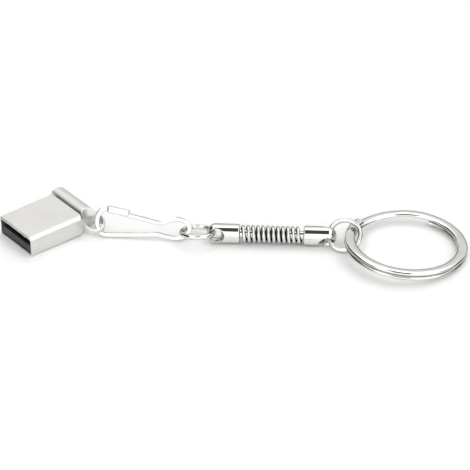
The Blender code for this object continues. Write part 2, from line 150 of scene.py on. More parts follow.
# Brass cap, turned and nickel plated: mirror bright with very fine rings round its axis.
TURNED_NICKEL = Finish("nickel_plate_on_turned_brass", "#E8E7E4", "#DCDBD7", Pattern.TURNED,
                       metallic=1.0, roughness=0.1, spread=0.04, grain_mm=0.14, relief_mm=0.0006,
                       edge=0.4)
# Coiled spring wire, nickel plated after winding; towards the coil's axis its colour carries painted
# shade for the dark inside of the coil and the gaps between turns.
SPRING_NICKEL = Finish("nickel_plate_on_coiled_spring_wire", "#E6E5E3", "#D8D7D4", Pattern.DRAWN,
                       metallic=1.0, roughness=0.11, spread=0.04, grain_mm=0.4, relief_mm=0.0006,
                       edge=0.3, inner_shade_mm=1.74)
# Glass-filled nylon, moulded black: dull, with a fine eroded texture.
BLACK_NYLON = Finish("black_glass_filled_nylon_moulding", "#3A3A3C", "#2E2E30", Pattern.MOULDED,
                     roughness=0.46, spread=0.08, grain_mm=0.12, relief_mm=0.004)
# Epoxy moulding compound over the chips: black with a faint flow sheen.
CHIP_EPOXY = Finish("black_epoxy_chip_moulding", "#202022", "#29292B", Pattern.MOULDED,
                    roughness=0.36, spread=0.06, grain_mm=0.1, relief_mm=0.003)
# Laminate board under green solder mask, with its glass cloth just telegraphing through.
SOLDER_MASK = Finish("green_solder_mask_on_glass_laminate", "#0C2415", "#091C10", Pattern.LAMINATE,
                     roughness=0.32, spread=0.05, grain_mm=0.5, relief_mm=0.003, coat=0.4)
# Hard gold over nickel on the plug's contacts: satin with rolling lines along the pad.
CONTACT_GOLD = Finish("hard_gold_on_nickel_contact", "#E3BE6A", "#D7AE58", Pattern.DRAWN,
                      metallic=1.0, roughness=0.2, spread=0.06, grain_mm=0.25, relief_mm=0.001)
# Bare silicon die: dark blue-grey mirror.
BARE_SILICON = Finish("ground_silicon_die", "#5C6068", "#52565E", Pattern.WAFER,
                      metallic=0.7, roughness=0.16, spread=0.04, grain_mm=0.3, relief_mm=0.0005)
# Crystal can: plated kovar.
KOVAR_CAN = Finish("nickel_plated_kovar_can", "#D9D2C2", "#CDC5B4", Pattern.TURNED,
                   metallic=1.0, roughness=0.24, spread=0.05, grain_mm=0.2, relief_mm=0.001)
# Fired ceramic with tinned ends: dull tan.
FIRED_CERAMIC = Finish("fired_ceramic_chip_body", "#9C8062", "#8C7154", Pattern.MOULDED,
                       roughness=0.55, spread=0.06, grain_mm=0.08, relief_mm=0.003)
# Thick-film resistor: black glaze over alumina.
RESISTOR_GLAZE = Finish("black_glaze_on_alumina", "#242426", "#303033", Pattern.CAST_RESIN,
                        roughness=0.3, spread=0.05, grain_mm=0.1, relief_mm=0.001, coat=0.3)
# Two-part epoxy: milky amber, poured and set.
SET_EPOXY = Finish("set_milky_epoxy_adhesive", "#CFC6A8", "#C0B592", Pattern.CAST_RESIN,
                   roughness=0.3, spread=0.08, grain_mm=0.9, relief_mm=0.01, coat=0.3)


def linear(code: str) -> tuple[float, float, float, float]:
    """Turn an sRGB hex colour to linear light.

    Args:
        code: Colour such as "#D0D0D0".

    Returns:
        Red, green, blue and alpha.
    """
    parts = [int(code[place:place + 2], 16) / 255 for place in (1, 3, 5)]
    red, green, blue = (part / 12.92 if part <= 0.04045 else ((part + 0.055) / 1.055) ** 2.4
                        for part in parts)
    return (red, green, blue, 1.0)


def add_node(tree: Tree, kind: str, settings: dict | None = None, **inputs: object) -> bpy.types.Node:
    """Add a node with its settings, and set or link its inputs.

    Args:
        tree: Node tree.
        kind: Node type.
        settings: Attributes of the node.
        inputs: Input name, with spaces as underscores, or iN for input number N,
            to a value or to an output socket to link from.

    Returns:
        The new node.
    """
    node = tree.nodes.new(kind)
    for name, value in (settings or {}).items():
        setattr(node, name, value)
    for name, value in inputs.items():
        key = int(name[1:]) if name[0] == "i" and name[1:].isdigit() else name.replace("_", " ")
        if isinstance(value, Socket):
            tree.links.new(value, node.inputs[key])
        else:
            node.inputs[key].default_value = value
    return node


def calc(tree: Tree, operation: str, *terms: object) -> Socket:
    """Return the result of one sum.

    Args:
        tree: Node tree.
        operation: Name of the sum, such as "MULTIPLY".
        terms: Up to three numbers or sockets.

    Returns:
        Result socket.
    """
    inputs = {f"i{place}": term for place, term in enumerate(terms)}
    return add_node(tree, "ShaderNodeMath", {"operation": operation}, **inputs).outputs[0]


def eased(tree: Tree, value: Socket, limits: tuple[float, float],
          levels: tuple[float, float] = (0.0, 1.0)) -> Socket:
    """Ease from one level to another as a value passes between two limits.

    Args:
        tree: Node tree.
        value: The value.
        limits: Where the easing starts and ends.
        levels: Result before the first limit and after the second.

    Returns:
        Result socket.
    """
    return add_node(tree, "ShaderNodeMapRange", {"interpolation_type": "SMOOTHSTEP"}, Value=value,
                    From_Min=limits[0], From_Max=limits[1], To_Min=levels[0],
                    To_Max=levels[1]).outputs[0]


class FinishShop:
    """Makes one material for each finish, or for each finish and piece axis."""

    def __init__(self) -> None:
        """Start with nothing made."""
        self.made: dict[str, bpy.types.Material] = {}

    def material(self, finish: Finish, axis: Array | None = None,
                 centre: Array | None = None) -> bpy.types.Material:
        """Return a finish's material.

        Args:
            finish: The finish.
            axis: Direction that drawn or turned marks follow.
            centre: A point on that axis, in millimetres.

        Returns:
            The material.
        """
        key = finish.name if axis is None else f"{finish.name}_{np.round(axis, 3)}"
        if key in self.made:
            return self.made[key]
        material = bpy.data.materials.new(finish.name)
        material.use_nodes = True
        tree = material.node_tree
        shader = tree.nodes["Principled BSDF"]
        shader.inputs["Metallic"].default_value = finish.metallic
        shader.inputs["Coat Weight"].default_value = finish.coat
        # A grey Specular Tint darkens the reflection at grazing angles: painted shade along the
        # outlines.
        shader.inputs["Specular Tint"].default_value = (finish.edge, finish.edge, finish.edge, 1.0)
        place = self.placed(tree, axis, centre)
        relief = self.relief(tree, finish, place)
        cloud = add_node(tree, "ShaderNodeTexNoise", None, Vector=place, Scale=CLOUDS_PER_MM / MM,
                         Detail=3.0)
        fine = add_node(tree, "ShaderNodeTexNoise", None, Vector=place,
                        Scale=1 / (finish.grain_mm * 2 * MM), Detail=4.0)
        broad = calc(tree, "MULTIPLY", cloud.outputs[0], 1 - FINE_SHARE)
        mixed = calc(tree, "MULTIPLY_ADD", fine.outputs[0], FINE_SHARE, broad)
        ramp = add_node(tree, "ShaderNodeValToRGB", None, Fac=mixed)
        ramp.color_ramp.elements[0].position = 0.3
        ramp.color_ramp.elements[0].color = linear(finish.second)
        ramp.color_ramp.elements[1].position = 0.7
        ramp.color_ramp.elements[1].color = linear(finish.colour)
        tree.links.new(self.inner_shaded(tree, finish, place, ramp.outputs[0]),
                       shader.inputs["Base Color"])
        rough = add_node(tree, "ShaderNodeMapRange", None, Value=mixed, From_Min=0.25,
                         From_Max=0.75, To_Min=finish.roughness - finish.spread,
                         To_Max=finish.roughness + finish.spread)
        tree.links.new(rough.outputs[0], shader.inputs["Roughness"])
        bump = add_node(tree, "ShaderNodeBump", None, Strength=1.0, Distance=finish.relief_mm * MM,
                        Height=relief)
        tree.links.new(bump.outputs[0], shader.inputs["Normal"])
        self.made[key] = material
        return material

    @staticmethod
    def placed(tree: Tree, axis: Array | None, centre: Array | None) -> Socket:
        """Return Object coordinates, centred and turned so that the given axis becomes X."""
        source = tree.nodes.new("ShaderNodeTexCoord").outputs["Object"]
        if axis is None:
            return source
        moved = add_node(tree, "ShaderNodeVectorMath", {"operation": "SUBTRACT"}, i0=source,
                         i1=tuple(np.asarray(centre) * MM))
        yaw = math.atan2(axis[1], axis[0])
        pitch = math.asin(max(-1.0, min(1.0, axis[2])))
        turned = add_node(tree, "ShaderNodeVectorRotate", {"rotation_type": "Z_AXIS"},
                          Vector=moved.outputs[0], Angle=-yaw)
        return add_node(tree, "ShaderNodeVectorRotate", {"rotation_type": "Y_AXIS"},
                        Vector=turned.outputs[0], Angle=pitch).outputs[0]

    @staticmethod
    def inner_shaded(tree: Tree, finish: Finish, place: Socket, colour: Socket) -> Socket:
        """Darken a colour near the piece's axis: painted shade for the dark inside of a coil and the
        gaps between its turns.

        Args:
            tree: Node tree.
            finish: The finish.
            place: Coordinates whose X runs along the axis.
            colour: The colour without the painted shade.

        Returns:
            The colour with the painted shade.
        """
        if not finish.inner_shade_mm:
            return colour
        flat = add_node(tree, "ShaderNodeVectorMath", {"operation": "MULTIPLY"}, i0=place,
                        i1=(0.0, 1.0, 1.0))
        radius = add_node(tree, "ShaderNodeVectorMath", {"operation": "LENGTH"}, i0=flat.outputs[0])
        inner, outer = ((finish.inner_shade_mm + fade) * MM for fade in SHADE_FADE_MM)
        # Painted shade: inside the coil's radius the colour keeps only a small share of itself.
        unshaded_share = eased(tree, radius.outputs["Value"], (inner, outer), (SHADE_LEVEL, 1.0))
        return add_node(tree, "ShaderNodeVectorMath", {"operation": "SCALE"}, i0=colour,
                        Scale=unshaded_share).outputs[0]

    @staticmethod
    def relief(tree: Tree, finish: Finish, place: Socket) -> Socket:
        """Return the height of a finish's relief.

        Args:
            tree: Node tree.
            finish: The finish.
            place: Coordinates.

        Returns:
            Height socket.
        """
        scale = 1 / (finish.grain_mm * MM)
        match finish.pattern:
            case Pattern.BLASTED:
                # Overlapping shallow dimples of the blasting beads.
                cells = add_node(tree, "ShaderNodeTexVoronoi", {"feature": "SMOOTH_F1"},
                                 Vector=place, Scale=scale)
                return cells.outputs["Distance"]
            case Pattern.DRAWN:
                # Hairlines left by the die and by handling, long against their width.
                long = add_node(tree, "ShaderNodeMapping", None, Vector=place,
                                Scale=(0.12, 1.0, 1.0))
                hair = add_node(tree, "ShaderNodeTexNoise", None, Vector=long.outputs[0],
                                Scale=scale * 4, Detail=5.0, Roughness=0.65)
                return hair.outputs[0]
            case Pattern.TURNED:
                # Rings one feed apart round the axis.
                rings = add_node(tree, "ShaderNodeTexWave", {"wave_profile": "SIN"}, Vector=place,
                                 Scale=scale / 20, Distortion=0.6, Detail=2.0)
                return rings.outputs["Fac"]
            case Pattern.LAMINATE:
                # Crossed glass yarns under the mask.
                cloth = add_node(tree, "ShaderNodeTexChecker", None, Vector=place, Scale=scale)
                soft = add_node(tree, "ShaderNodeTexNoise", None, Vector=place, Scale=scale * 2)
                return calc(tree, "ADD", cloth.outputs["Fac"], soft.outputs[0])
            case _:
                # Eroded or poured texture: uneven grains of one size.
                grains = add_node(tree, "ShaderNodeTexNoise", None, Vector=place, Scale=scale,
                                  Detail=6.0, Roughness=0.6)
                return grains.outputs[0]


# ---------------------------------------------------------------- surfaces


def unit(vectors: Array) -> Array:
    """Scale vectors to length one along their last axis."""
    return vectors / np.linalg.norm(vectors, axis=-1, keepdims=True)


def moved(matrix: Array, points: Array) -> Array:
    """Apply a 4 by 4 placing to points."""
    return points @ matrix[:3, :3].T + matrix[:3, 3]


def axes_frame(origin: Array, x_axis: Array, z_axis: Array) -> Array:
    """Return a placing with a given Z axis and the nearest X axis square to it."""
    z_axis = unit(np.asarray(z_axis, float))
    y_axis = unit(np.cross(z_axis, np.asarray(x_axis, float)))
    matrix = np.eye(4)
    matrix[:3, :3] = np.stack([np.cross(y_axis, z_axis), y_axis, z_axis], axis=1)
    matrix[:3, 3] = origin
    return matrix


def turn(axis: int, degrees: float) -> Array:
    """Return a 4 by 4 turn about X, Y or Z."""
    angle = math.radians(degrees)
    first, second = (axis + 1) % 3, (axis + 2) % 3
    matrix = np.eye(4)
    matrix[first, first] = matrix[second, second] = math.cos(angle)
    matrix[first, second] = -math.sin(angle)
    matrix[second, first] = math.sin(angle)
    return matrix


def shift(offset: Array | tuple[float, float, float]) -> Array:
    """Return a 4 by 4 shift."""
    matrix = np.eye(4)
    matrix[:3, 3] = offset
    return matrix


def make_piece(name: str, points: Array, faces: Faces, sharp: float | None = None) -> bpy.types.Object:
    """Make a mesh object whose place is in its mesh.

    Args:
        name: Piece name.
        points: Vertices in the row frame, millimetres.
        faces: Vertex numbers of each face, outward.
        sharp: Edges sharper than this many degrees stay sharp.

    Returns:
        The piece.
    """
    mesh = bpy.data.meshes.new(name)
    mesh.from_pydata((points * MM).tolist(), [], faces)
    mesh.validate()
    mesh.shade_smooth()
    if sharp is not None:
        mesh.set_sharp_from_angle(angle=math.radians(sharp))
    piece = bpy.data.objects.new(name, mesh)
    bpy.context.scene.collection.objects.link(piece)
    return piece


def superellipse(width: float, height: float, power: float, count: int) -> Array:
    """Return a closed section |2x/width|^power + |2y/height|^power = 1, evenly spread in angle."""
    angle = np.linspace(0, 2 * np.pi, count, endpoint=False)
    across = np.sign(np.cos(angle)) * np.abs(np.cos(angle)) ** (2 / power) * width / 2
    up = np.sign(np.sin(angle)) * np.abs(np.sin(angle)) ** (2 / power) * height / 2
    return np.stack([across, up], axis=1)


def smooth_path(knots: list[tuple[float, float]], steps: int) -> Array:
    """Return points on the cubic through plane knots, each leaving along its neighbours' chord."""
    known = np.asarray(knots, float)
    padded = np.vstack([known[:1], known, known[-1:]])
    part = (np.arange(steps) / steps)[None, :, None]
    start, end = padded[1:-2, None], padded[2:-1, None]
    leave, reach = (end - padded[:-3, None]) / 2, (padded[3:, None] - start) / 2
    curve = ((2 * part ** 3 - 3 * part ** 2 + 1) * start + (part ** 3 - 2 * part ** 2 + part) * leave
             + (3 * part ** 2 - 2 * part ** 3) * end + (part ** 3 - part ** 2) * reach)
    return np.vstack([curve.reshape(-1, known.shape[1]), known[-1:]])


def sweep(path: Array, across: Array, section: Array, end_round: float) -> tuple[Array, Faces]:
    """Carry a closed section along a path, with rounded-over ends.

    Each station is path + x * across + y * (tangent x across); near an end, the section shrinks
    on a quarter circle of radius end_round.

    Args:
        path: Stations, n by 3.
        across: Direction of the section's x at each station, n by 3.
        section: Closed outline, m by 2, counter-clockwise.
        end_round: Radius of the rounded end edge.

    Returns:
        Vertices and faces.
    """
    tangent = unit(np.gradient(path, axis=0))
    extra = np.array([0.0, 0.3, 0.7]) * end_round
    head = path[0] + tangent[0] * extra[:, None]
    tail = path[-1] - tangent[-1] * extra[::-1, None]
    path = np.vstack([head, path[1:-1], tail])
    across = np.vstack([np.repeat(across[:1], 3, 0), across[1:-1], np.repeat(across[-1:], 3, 0)])
    tangent = np.vstack([np.repeat(tangent[:1], 3, 0), tangent[1:-1], np.repeat(tangent[-1:], 3, 0)])
    across = unit(across - tangent * np.sum(across * tangent, axis=1, keepdims=True))
    over = np.cross(tangent, across)
    half = np.abs(section).max()
    shrink = 1 - (end_round - np.sqrt(end_round ** 2 - (end_round - extra) ** 2)) / half
    scale = np.ones(len(path))
    scale[:3] = shrink
    scale[-3:] = shrink[::-1]
    outline = section[None] * scale[:, None, None]
    points = path[:, None] + outline[..., :1] * across[:, None] + outline[..., 1:] * over[:, None]
    rows, columns = len(path), len(section)
    number = np.arange(rows * columns).reshape(rows, columns)
    beside = np.roll(number, -1, axis=1)
    quads = np.stack([number[:-1], beside[:-1], beside[1:], number[1:]], axis=-1).reshape(-1, 4)
    faces = quads.tolist() + [number[0, ::-1].tolist(), number[-1].tolist()]
    return points.reshape(-1, 3), faces


def softer_min(first: Array, second: Array, radius: float) -> Array:
    """Join two distance fields, with a fillet of about the given radius."""
    share = np.clip(0.5 + 0.5 * (second - first) / radius, 0, 1)
    return second + (first - second) * share - radius * share * (1 - share)


def cut(body: Array, tool: Array, radius: float) -> Array:
    """Take a tool's distance field from a body's, rounding the edge that is left."""
    return -softer_min(-body, tool, radius)


def box_field(x: Array, y: Array, z: Array, low: tuple, high: tuple, radius: float) -> Array:
    """Distance to a box between two corners, with edges of the given radius."""
    gaps = [np.abs(value - (a + b) / 2) - (b - a) / 2 + radius
            for value, a, b in zip((x, y, z), low, high)]
    outside = np.sqrt(sum(np.maximum(gap, 0) ** 2 for gap in gaps))
    return outside + np.minimum(np.maximum.reduce(gaps), 0) - radius


def rod_field(radial: Array, along: Array, radius: float, edge: float) -> Array:
    """Distance to a rod from the radial distance and the distance past its ends."""
    side = radial - radius + edge
    end = along + edge
    return (np.hypot(np.maximum(side, 0), np.maximum(end, 0))
            + np.minimum(np.maximum(side, end), 0) - edge)


def skin(field_of: Callable[[Array, Array, Array], Array], low: tuple, high: tuple,
         step: float) -> tuple[Array, Faces]:
    """Wrap the zero surface of a distance field in quads.

    One vertex stands in each grid cell that the surface crosses, at the mean of the crossings on
    the cell's edges, and is then drawn onto the surface along the field's slope. One quad joins
    the four cells round each crossed grid edge.

    Args:
        field_of: Distance from x, y and z; negative inside.
        low: Lowest corner of the grid.
        high: Highest corner.
        step: Grid spacing.

    Returns:
        Vertices and faces.
    """
    lines = [np.arange(a, b + step, step) for a, b in zip(low, high)]
    value = field_of(*np.meshgrid(*lines, indexing="ij"))
    cells = tuple(count - 1 for count in value.shape)
    total = np.zeros((*cells, 3))
    count = np.zeros(cells)
    for axis in range(3):
        for first in (0, 1):
            for second in (0, 1):
                offset = [first, second]
                offset.insert(axis, 0)
                near = value[tuple(slice(o, o + c) for o, c in zip(offset, cells))]
                offset[axis] = 1
                far = value[tuple(slice(o, o + c) for o, c in zip(offset, cells))]
                crossed = (near < 0) != (far < 0)
                part = np.where(crossed, near / np.where(crossed, near - far, 1), 0)
                for place in range(3):
                    total[..., place] += part if place == axis else crossed * offset[place]
                count += crossed
    active = count > 0
    number = np.full(cells, -1)
    number[active] = np.arange(active.sum())
    corner = np.argwhere(active)
    points = np.array(low) + (corner + total[active] / count[active][:, None]) * step
    for _ in range(3):
        here = field_of(*points.T)
        slope = np.stack([(field_of(*(points + d).T) - field_of(*(points - d).T)) / (0.2 * step)
                          for d in np.eye(3) * 0.1 * step], axis=1)
        points -= np.clip(here / np.maximum((slope ** 2).sum(1), 0.2), -step, step)[:, None] * slope
    faces: Faces = []
    for axis in range(3):
        first, second = (axis + 1) % 3, (axis + 2) % 3
        lower = np.moveaxis(value, (axis, first, second), (0, 1, 2))
        ids = np.moveaxis(number, (axis, first, second), (0, 1, 2))
        near, far = lower[:-1, 1:-1, 1:-1], lower[1:, 1:-1, 1:-1]
        crossed = (near < 0) != (far < 0)
        quad = np.stack([ids[:, :-1, :-1], ids[:, 1:, :-1], ids[:, 1:, 1:], ids[:, :-1, 1:]], -1)
        chosen = quad[crossed]
        inward = ~(near[crossed] < 0)
        chosen[inward] = chosen[inward][:, ::-1]
        faces += chosen.tolist()
    return points, faces


# ---------------------------------------------------------------- the frame's places


class Places:
    """Placings of the bodies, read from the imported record."""

    def __init__(self, record: dict) -> None:
        """Read joints and mounts.

        Args:
            record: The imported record.
        """
        self.joints = {joint["name"]: joint for joint in record["behaviour"]["joints"]}
        self.mounts = {mount["name"]: mount for mount in record["mounts"]}

    def pivot(self, joint: str) -> Array:
        """Return a joint's point, in millimetres."""
        return np.array(self.joints[joint]["pos_m"]) / MM

    def axis(self, joint: str) -> Array:
        """Return a joint's direction."""
        return unit(np.array(self.joints[joint]["axis"], float))

    def drive(self, mouth_height: float) -> Array:
        """Return the drive's placing: X to the rear from the mouth, Z up through the sleeve."""
        plug, under = self.mounts["usb_plug"], self.mounts["sleeve_underside"]
        up = -np.array(under["axis"])
        origin = np.array(plug["pos_m"]) / MM - unit(up) * mouth_height
        return axes_frame(origin, -np.array(plug["axis"]), up)


# ---------------------------------------------------------------- sub-assemblies


@dataclass
class Housing:
    """Cast sleeve with a roll across its rear edge and a lanyard eye at the roll's near end."""

    length: float = 14.14
    width: float = 12.0
    height: float = 4.5
    side_wall: float = 0.35
    roof: float = 0.5
    floor: float = 0.3
    depth: float = 13.0
    roll_radius: float = 2.6
    roll_x: float = 16.1
    roll_end: float = 7.1
    eye_y: float = -6.85
    eye_radius: float = 2.61
    hole_radius: float = 2.15
    hole_waist: float = 0.75
    hole_flare: float = 0.433
    top_scoop: tuple[float, float] = (31.0, 1.2)
    under_scoop: tuple[float, float] = (25.0, 2.3)
    groove: float = 0.55
    groove_depth: float = 1.4
    fillet: float = 0.16
    body_edge: float = 0.26
    roll_edge: float = 0.35
    step: float = 0.12
    side_margin: float = 0.4
    face_margin: float = 0.7

    def field(self, x: Array, y: Array, z: Array) -> Array:
        """Distance to the casting: joined solids, then the grooves, cavity, hole and scoops cut."""
        half, middle = self.width / 2, self.height / 2
        solid = box_field(x, y, z, (0, -half, 0), (self.length + 0.3, half, self.height),
                          self.body_edge)
        centre = (self.eye_y + self.roll_end) / 2
        radial = np.hypot(x - self.roll_x, z - middle)
        roll = rod_field(radial, np.abs(y - centre) - (self.roll_end - centre), self.roll_radius,
                         self.roll_edge)
        solid = softer_min(solid, roll, 0.1)
        up, out = z - middle, y - self.eye_y
        away = np.sqrt((x - self.roll_x) ** 2 + out ** 2 + up ** 2)
        solid = softer_min(solid, away - self.eye_radius, 0.1)
        for side in (1, -1):
            edges = sorted((middle + side * (middle - self.groove_depth), middle + side * 6))
            slot = box_field(x, y, z, (self.length, -half - 0.3, edges[0]),
                             (self.length + self.groove, self.roll_end + 2, edges[1]), 0.05)
            solid = cut(solid, slot, 0.08)
        cavity = box_field(x, y, z, (-2, -half + self.side_wall, self.floor),
                           (self.depth, half - self.side_wall, self.height - self.roof), 0.12)
        solid = cut(solid, cavity, 0.1)
        flare = np.maximum(np.abs(up) - self.hole_waist, 0) * self.hole_flare
        hole = (np.hypot(x - self.roll_x, out) - self.hole_radius - flare) * 0.92
        solid = cut(solid, hole, self.fillet)
        for side, (degrees, height) in ((1, self.top_scoop), (-1, self.under_scoop)):
            slope = math.radians(degrees)
            scoop = math.sin(slope) * out - math.cos(slope) * (side * up - height)
            solid = cut(solid, scoop, self.fillet)
        return solid

    def build(self, shop: FinishShop, place: Array) -> None:
        """Skin the casting and put it on the drive."""
        side = self.side_margin
        low = (-side, self.eye_y - self.eye_radius - side, -self.face_margin)
        high = (self.roll_x + self.eye_radius + side, self.roll_end + side,
                self.height + self.face_margin)
        points, faces = skin(self.field, low, high, self.step)
        piece = make_piece("cast_housing", moved(place, points), faces, sharp=50)
        piece.data.materials.append(shop.material(PEARL_NICKEL))
        settle(piece, "drive", "alloy_housing")


@dataclass
class PlugModule:
    """Tray and chip-on-board module inside the sleeve."""

    half: float = 5.6
    tray_x: tuple[float, float] = (0.3, 12.8)
    tray_z: tuple[float, float] = (0.35, 2.2)
    rail: float = 0.3
    lip: float = 0.4
    board_x: tuple[float, float] = (0.75, 12.1)
    board_half: float = 5.2
    board_z: tuple[float, float] = (1.85, 2.11)
    pad_z: tuple[float, float] = (2.13, 2.18)
    pad_half: float = 0.55
    pads: dict[str, tuple[float, float]] = field(default_factory=lambda: {
        "contact_ground": (-3.5, 7.6), "contact_data_plus": (-1.0, 6.6),
        "contact_data_minus": (1.0, 6.6), "contact_power": (3.5, 7.6)})

    def tray_field(self, x: Array, y: Array, z: Array) -> Array:
        """Distance to the tray: a block hollowed from above for the module."""
        block = box_field(x, y, z, (self.tray_x[0], -self.half, self.tray_z[0]),
                          (self.tray_x[1], self.half, self.tray_z[1]), 0.12)
        pocket = box_field(x, y, z, (self.board_x[0] - 0.05, -self.half + self.rail, 0.6),
                           (self.tray_x[1] - self.lip, self.half - self.rail, 6), 0.05)
        return cut(block, pocket, 0.06)

    def pad(self, middle: float, length: float) -> tuple[Array, Faces]:
        """A contact pad: a flat strip with a crowned section and rounded ends, along X."""
        start = self.board_x[0] + 0.5
        along = np.linspace(start, start + length, 24)
        height = (self.pad_z[0] + self.pad_z[1]) / 2
        path = np.stack([along, np.full(24, middle), np.full(24, height)], axis=1)
        across = np.tile([0.0, 1.0, 0.0], (24, 1))
        section = superellipse(2 * self.pad_half, self.pad_z[1] - self.pad_z[0], 6.0, 32)
        return sweep(path, across, section, 0.02)

    def build(self, shop: FinishShop, place: Array, nodes: dict) -> None:
        """Make the tray, board and pads, and dress the chips that stay as they are."""
        low = (self.tray_x[0] - 0.3, -self.half - 0.3, self.tray_z[0] - 0.3)
        high = (self.tray_x[1] + 0.3, self.half + 0.3, self.tray_z[1] + 0.3)
        points, faces = skin(self.tray_field, low, high, 0.12)
        tray = make_piece("moulded_tray", moved(place, points), faces, sharp=45)
        tray.data.materials.append(shop.material(BLACK_NYLON))
        settle(tray, "drive", "carrier_tray")
        rear = self.board_x[1]
        along = np.linspace(self.board_x[0], rear, 40)
        path = np.stack([along, np.zeros(40), np.full(40, sum(self.board_z) / 2)], axis=1)
        section = superellipse(2 * self.board_half, self.board_z[1] - self.board_z[0], 12.0, 64)
        points, faces = sweep(path, np.tile([0.0, 1.0, 0.0], (40, 1)), section, 0.03)
        board = make_piece("module_board", moved(place, points), faces, sharp=35)
        board.data.materials.append(shop.material(SOLDER_MASK))
        settle(board, "drive", "module_substrate")
        for node, (middle, length) in self.pads.items():
            points, faces = self.pad(middle, length)
            pad = make_piece("pad_" + node, moved(place, points), faces, sharp=50)
            pad.data.materials.append(shop.material(CONTACT_GOLD))
            settle(pad, "drive", node)
        kept = {"module_moulding": CHIP_EPOXY, "flash_memory_die": BARE_SILICON,
                "controller_die": BARE_SILICON, "clock_crystal": KOVAR_CAN,
                "decoupling_capacitor": FIRED_CERAMIC, "pullup_resistor": RESISTOR_GLAZE,
                "rear_adhesive": SET_EPOXY}
        for node, finish in kept.items():
            dress(nodes[node], shop.material(finish))


@dataclass
class SnapHook:
    """Snap hook bent from flattened wire, with a folded nose and a sprung gate run."""

    origin: tuple[float, float, float] = (-28.0, -0.88, 0.66)
    yaw: float = -4.3
    pitch: float = 2.5
    lean: float = 55.0
    width: float = 1.1
    thickness: float = 0.8
    frame_knots: list[tuple[float, float]] = field(default_factory=lambda: [
        (3.6, 4.95), (1.8, 5.35), (-0.2, 5.76), (-1.5, 5.4), (-2.4, 4.1), (-2.5, 2.2),
        (-1.95, 0.75), (-0.9, 0.12), (0.6, 0.0), (5.6, 0.0), (9.0, 0.05), (10.9, 0.1),
        (13.0, -0.4), (15.05, -0.7), (17.05, -0.2), (18.0, 1.35), (17.15, 2.85), (15.25, 3.5),
        (13.2, 3.1), (12.2, 2.72), (11.6, 2.64)])
    gate_knots: list[tuple[float, float]] = field(default_factory=lambda: [
        (11.42, 2.64), (10.8, 2.7), (8.1, 3.40), (4.9, 4.23), (2.6, 4.80)])
    nose_start: tuple[float, float] = (4.55, 4.75)
    nose_end: tuple[float, float] = (-0.1, 5.72)
    nose_height: float = 1.6
    nose_width: float = 1.9
    nose_wall: float = 0.38
    nose_solid: float = 0.9

    def place(self) -> Array:
        """Return the placing of the hook's plane."""
        return (shift(BENCH) @ shift(self.origin) @ turn(2, self.yaw) @ turn(1, -self.pitch)
                @ turn(0, self.lean))

    def strip(self, knots: list[tuple[float, float]], first: int) -> tuple[Array, Faces]:
        """Carry the flattened section along the plane curve through the knots."""
        steps = 10
        flat = smooth_path(knots, steps)[first * steps:]
        path = np.column_stack([flat, np.zeros(len(flat))])
        tangent = unit(np.gradient(path, axis=0))
        across = np.cross([0.0, 0.0, 1.0], tangent)
        section = superellipse(self.width, self.thickness, 3.2, 36)
        return sweep(path, across, section, 0.12)

    def nose_field(self, x: Array, y: Array, z: Array) -> Array:
        """Distance to the nose: a block along X, slotted from below to take the gate."""
        run = math.dist(self.nose_start, self.nose_end)
        block = box_field(x, y, z, (0, -self.nose_height / 2, -self.nose_width / 2),
                          (run, self.nose_height / 2, self.nose_width / 2), 0.3)
        slot = box_field(x, y, z,
                         (self.nose_solid, -2, -self.nose_width / 2 + self.nose_wall),
                         (run + 1, self.nose_height / 2 - self.nose_wall,
                          self.nose_width / 2 - self.nose_wall), 0.1)
        return cut(block, slot, 0.08)

    def build(self, shop: FinishShop) -> None:
        """Make the frame, its nose and the gate."""
        place = self.place()
        material = shop.material(BARREL_NICKEL)
        points, faces = self.strip(self.frame_knots, 2)
        wire = make_piece("hook_frame_wire", moved(place, points), faces, sharp=60)
        wire.data.materials.append(material)
        settle(wire, "hook", "snap_hook_frame")
        run = math.dist(self.nose_start, self.nose_end)
        slope = math.degrees(math.atan2(self.nose_start[1] - self.nose_end[1],
                                        self.nose_start[0] - self.nose_end[0]))
        seat = place @ shift(np.array([*self.nose_end, 0.0])) @ turn(2, slope)
        points, faces = skin(self.nose_field, (-0.3, -1.1, -1.25), (run + 0.3, 1.1, 1.25), 0.06)
        nose = make_piece("hook_folded_nose", moved(seat, points), faces, sharp=60)
        nose.data.materials.append(material)
        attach(nose, "hook")
        points, faces = self.strip(self.gate_knots, 0)
        gate = make_piece("hook_gate_wire", moved(place, points), faces, sharp=60)
        gate.data.materials.append(material)
        settle(gate, "gate", "snap_hook_gate")


@dataclass
class JumpRing:
    """Round wire closed to a ring, with a hairline slit where its ends meet."""

    name: str
    body: str
    node: str
    centre: Array
    normal: Array
    radius: float = 3.475
    wire: float = 1.05
    slit: float = 1.6
    slit_at: float = 110.0
    stations: int = 161

    def build(self, shop: FinishShop) -> None:
        """Carry a round section round the circle centre + R (cos a, sin a)."""
        place = axes_frame(self.centre, np.array([1.0, 0.0, 0.0]), self.normal)
        turnings = np.radians(self.slit_at + self.slit / 2
                              + np.linspace(0, 360 - self.slit, self.stations))
        outward = np.stack([np.cos(turnings), np.sin(turnings), np.zeros(self.stations)], axis=1)
        section = superellipse(self.wire, self.wire, ROUND, 32)
        points, faces = sweep(outward * self.radius, outward, section, 0.05)
        ring = make_piece(self.name, moved(place, points), faces, sharp=60)
        ring.data.materials.append(shop.material(MIRROR_NICKEL))
        settle(ring, self.body, self.node)


